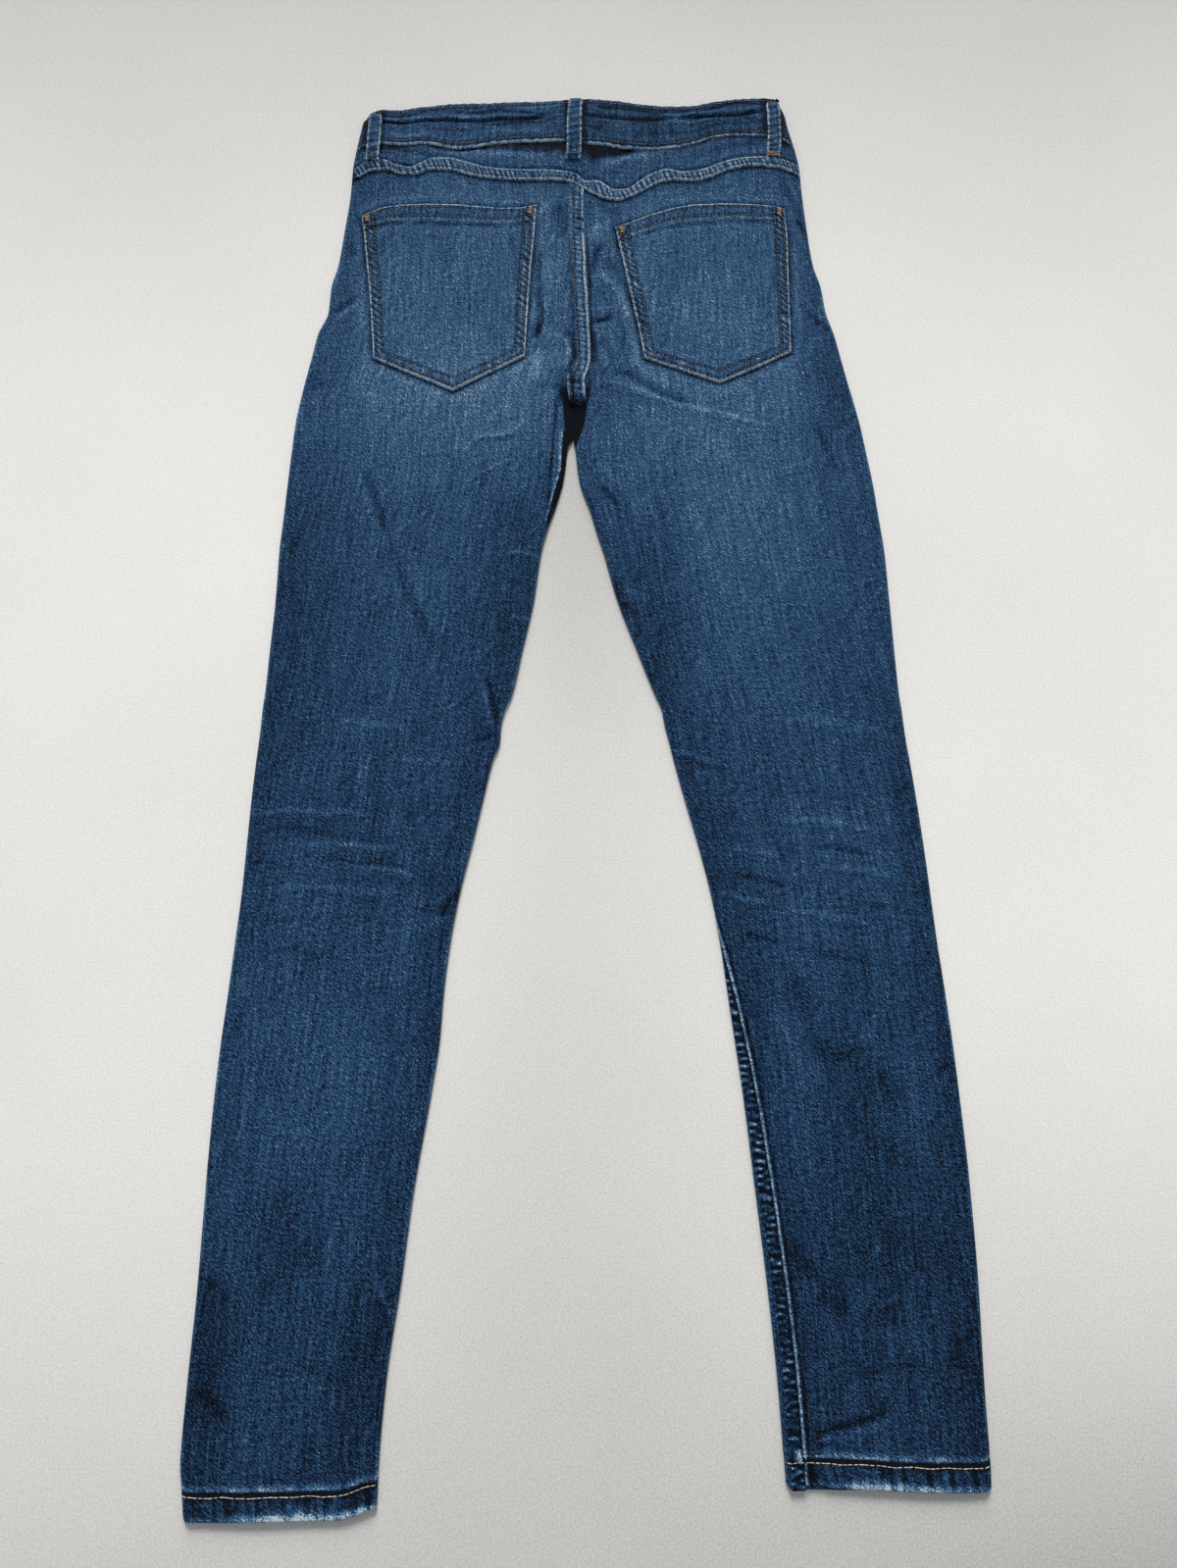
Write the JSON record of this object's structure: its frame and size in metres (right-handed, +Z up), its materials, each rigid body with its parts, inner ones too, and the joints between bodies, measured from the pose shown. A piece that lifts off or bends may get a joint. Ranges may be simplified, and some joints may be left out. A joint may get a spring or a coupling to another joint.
{
  "type": "skinny jeans",
  "caption": "Blue stretch skinny jeans laid flat, back side up, with yoke, patch back pockets, waistband and belt loops.",
  "frame": {"origin": "centre of the bounding box's footprint, on the surface the jeans lie on", "axes": "+Z up from that surface, +Y from the hems to the waist, +X towards the wearer's right"},
  "size_m": [0.5194, 1.0621, 0.0163],
  "materials": {
    "denim": "faded mid-blue stretch denim twill",
    "denim_pocket": "faded mid-blue stretch denim twill, a little lighter",
    "denim_trim": "folded and stitched stretch denim",
    "zip_tape": "dark woven tape",
    "metal": "antiqued, satin"
  },
  "bodies": {
    "root": {"back_panel_left": "denim", "back_panel_right": "denim", "front_panel_left": "denim", "front_panel_right": "denim", "yoke_left": "denim", "yoke_right": "denim", "pocket_facing_left": "denim", "pocket_facing_right": "denim", "back_pocket_left": "denim_pocket", "back_pocket_right": "denim_pocket", "waistband_left": "denim_trim", "waistband_right": "denim_trim", "fly_shield": "denim_trim", "belt_loop_back": "denim_trim", "belt_loop_back_left": "denim_trim", "belt_loop_back_right": "denim_trim", "belt_loop_front_left": "denim_trim", "belt_loop_front_right": "denim_trim", "zip": "zip_tape", "button": "metal"}
  },
  "joints": []
}
